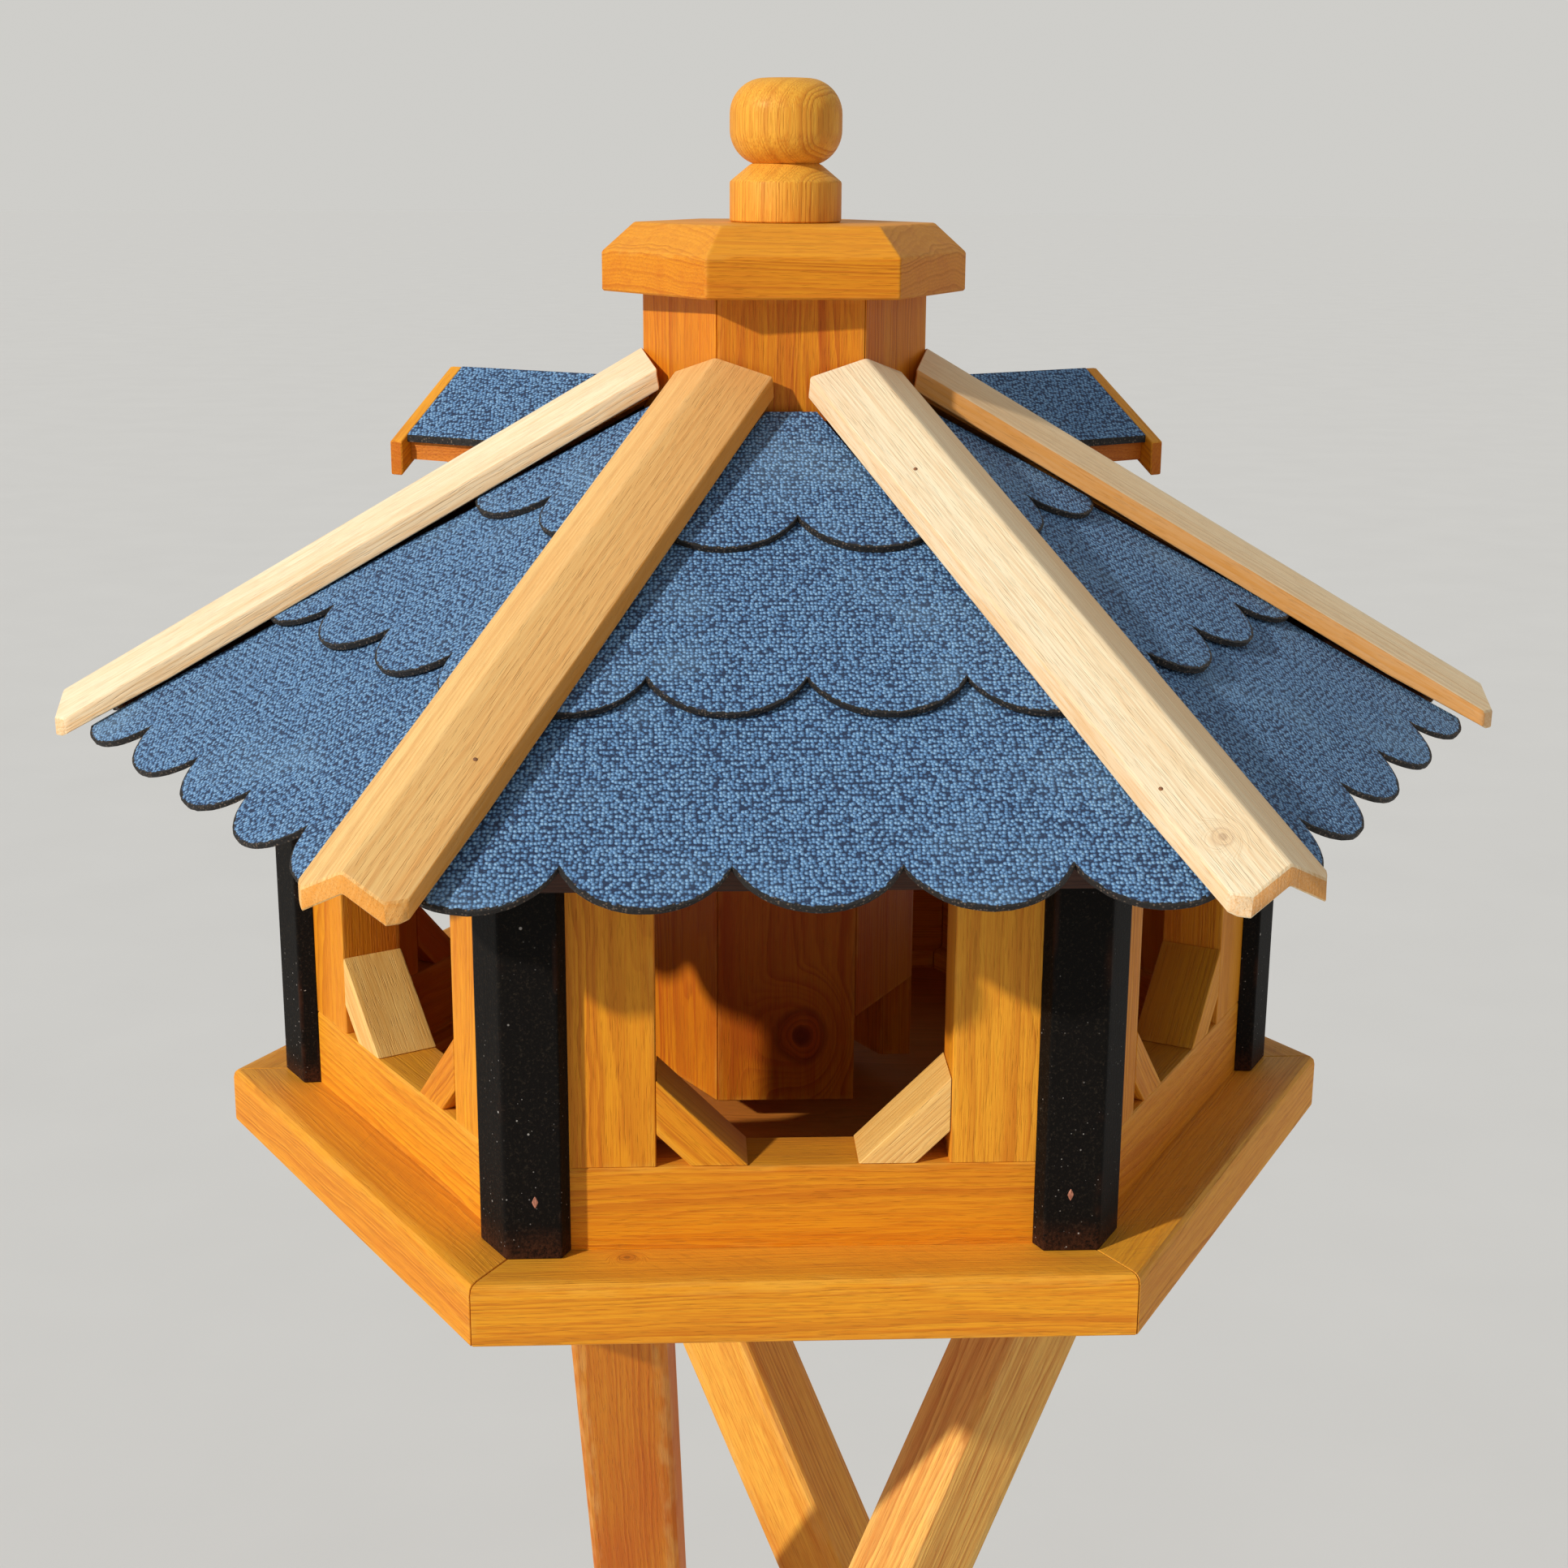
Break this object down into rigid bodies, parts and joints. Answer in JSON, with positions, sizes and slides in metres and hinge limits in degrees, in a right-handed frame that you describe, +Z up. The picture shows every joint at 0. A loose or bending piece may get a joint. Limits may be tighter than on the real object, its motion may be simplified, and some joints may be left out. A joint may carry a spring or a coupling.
{
  "type": "hexagonal bird feeder house on a tripod stand",
  "caption": "Hexagonal timber bird feeder with scalloped shingle roof, capped hips, small dormers and a central seed silo, on a twisted tripod stand",
  "frame": {"origin": "On the ground under the middle of the house, at the bottom centre of the bounding box", "axes": "+Z up through the silo and finial, -Y towards the front face, corners of the hexagons on the X axis"},
  "size_m": [0.702, 0.6284, 1.3649],
  "materials": {
    "honey_wood": "honey coloured stain, satin",
    "dark_wood": "red-brown stain in shade, satin",
    "leg_wood": "honey coloured stain, satin",
    "black_stain": "black-brown stain, worn at the feet",
    "pale_pine": "pale clear-finished pine",
    "blue_felt": "slate-blue mineral granules on bitumen felt"
  },
  "bodies": {
    "root": {"leg_back": "leg_wood", "leg_left": "leg_wood", "leg_right": "leg_wood", "floor_panel": "dark_wood", "ledge_front": "honey_wood", "ledge_front_right": "honey_wood", "ledge_back_right": "honey_wood", "ledge_back": "honey_wood", "ledge_back_left": "honey_wood", "ledge_front_left": "honey_wood", "sill_front": "honey_wood", "sill_front_right": "honey_wood", "sill_back_right": "honey_wood", "sill_back": "honey_wood", "sill_back_left": "honey_wood", "sill_front_left": "honey_wood", "jambs": "honey_wood", "braces": "honey_wood", "head_rails": "dark_wood", "corner_post_front_right": "black_stain", "corner_post_right": "black_stain", "corner_post_back_right": "black_stain", "corner_post_back_left": "black_stain", "corner_post_left": "black_stain", "corner_post_front_left": "black_stain", "roof_panel_front": "dark_wood", "roof_panel_front_right": "dark_wood", "roof_panel_back_right": "dark_wood", "roof_panel_back": "dark_wood", "roof_panel_back_left": "dark_wood", "roof_panel_front_left": "dark_wood", "shingles_lower": "blue_felt", "shingles_middle": "blue_felt", "shingles_upper": "blue_felt", "hip_battens": "dark_wood", "hip_caps": "pale_pine", "silo": "honey_wood", "lid": "honey_wood", "finial": "honey_wood", "dormer_walls": "dark_wood", "dormer_roofs": "dark_wood", "dormer_felt": "blue_felt", "bargeboards": "honey_wood"}
  },
  "joints": []
}
